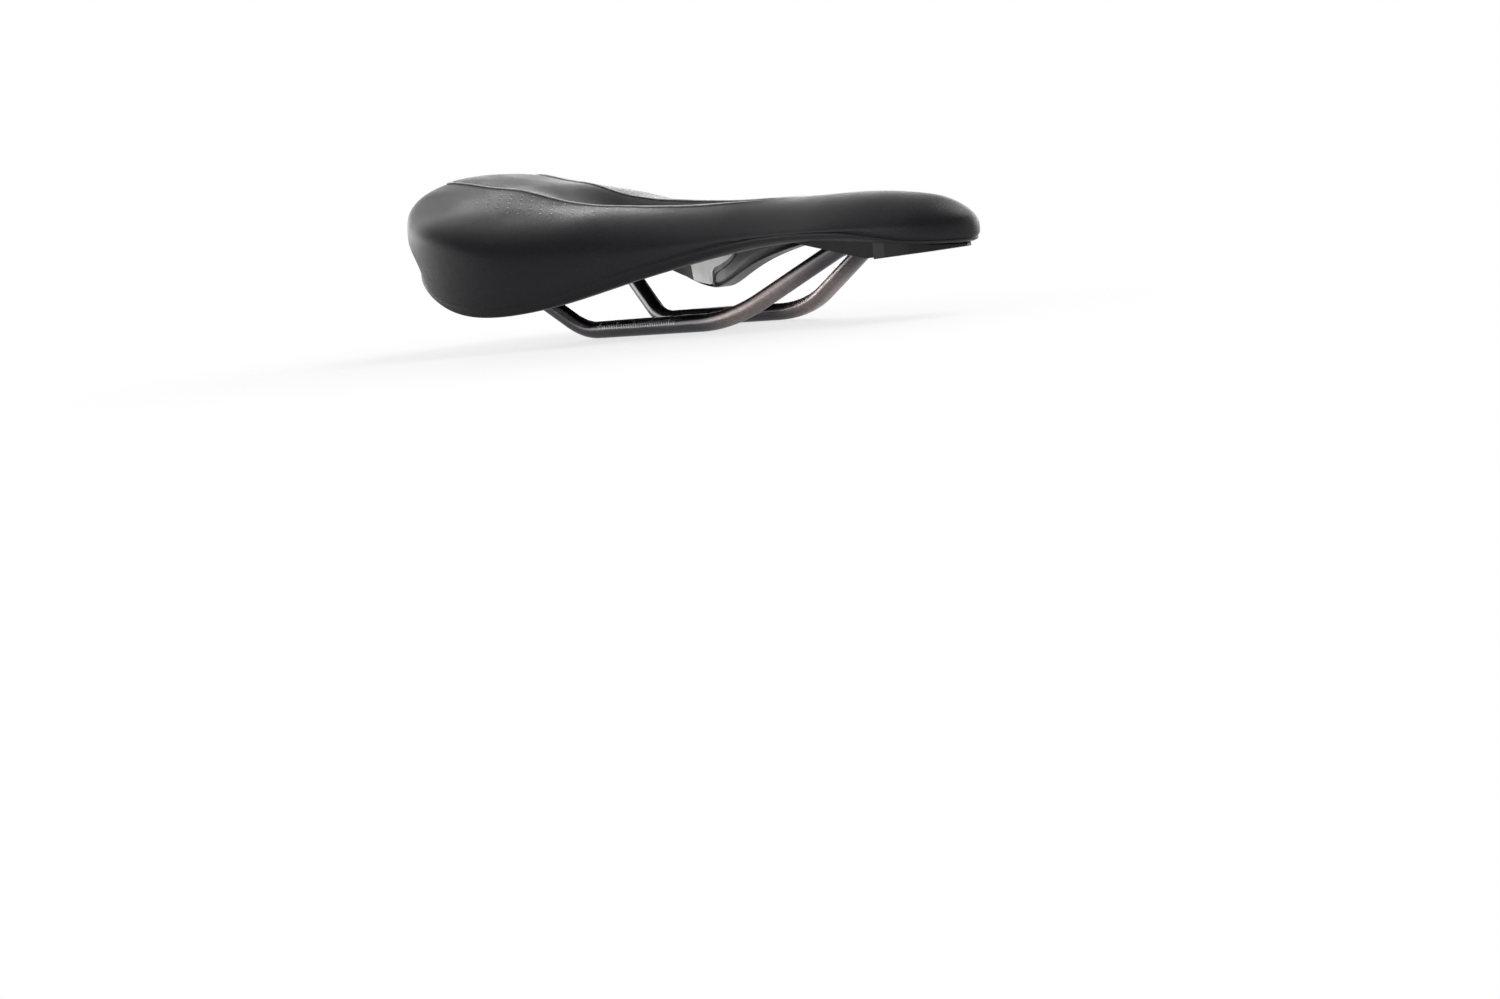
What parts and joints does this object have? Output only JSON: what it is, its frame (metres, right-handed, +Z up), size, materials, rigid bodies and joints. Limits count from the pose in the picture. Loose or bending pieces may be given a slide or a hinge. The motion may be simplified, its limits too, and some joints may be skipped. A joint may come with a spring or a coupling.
{
  "type": "bicycle saddle",
  "caption": "Short-nosed bicycle saddle: padded cover with a sunken centre channel on a moulded shell, carried by bent round rails for a seatpost clamp.",
  "frame": {"origin": "middle of the straight run of the rails, halfway between the two rail axes", "axes": "+X to the nose, +Y to the rider's left, +Z up"},
  "size_m": [0.2665, 0.146, 0.0712],
  "materials": {
    "cover": "matte synthetic leather with a fine grain",
    "panel": "smooth satin synthetic leather",
    "foam": "moulded polyurethane foam",
    "shell": "moulded nylon, satin",
    "socket": "moulded nylon, matte",
    "bumper": "moulded plastic with a fine dot texture",
    "rail": "dark polished black-chrome",
    "screw": "zinc-plated"
  },
  "bodies": {
    "root": {"cover_main": "cover", "cover_panel": "panel", "foam_pad": "foam", "base_shell": "shell", "nose_socket": "socket", "nose_bumper": "bumper", "rear_socket_left": "socket", "rear_socket_right": "socket", "rail_left": "rail", "rail_right": "rail", "nose_socket_screws": "screw", "bumper_screw": "screw", "rear_socket_screws": "screw"}
  },
  "joints": []
}
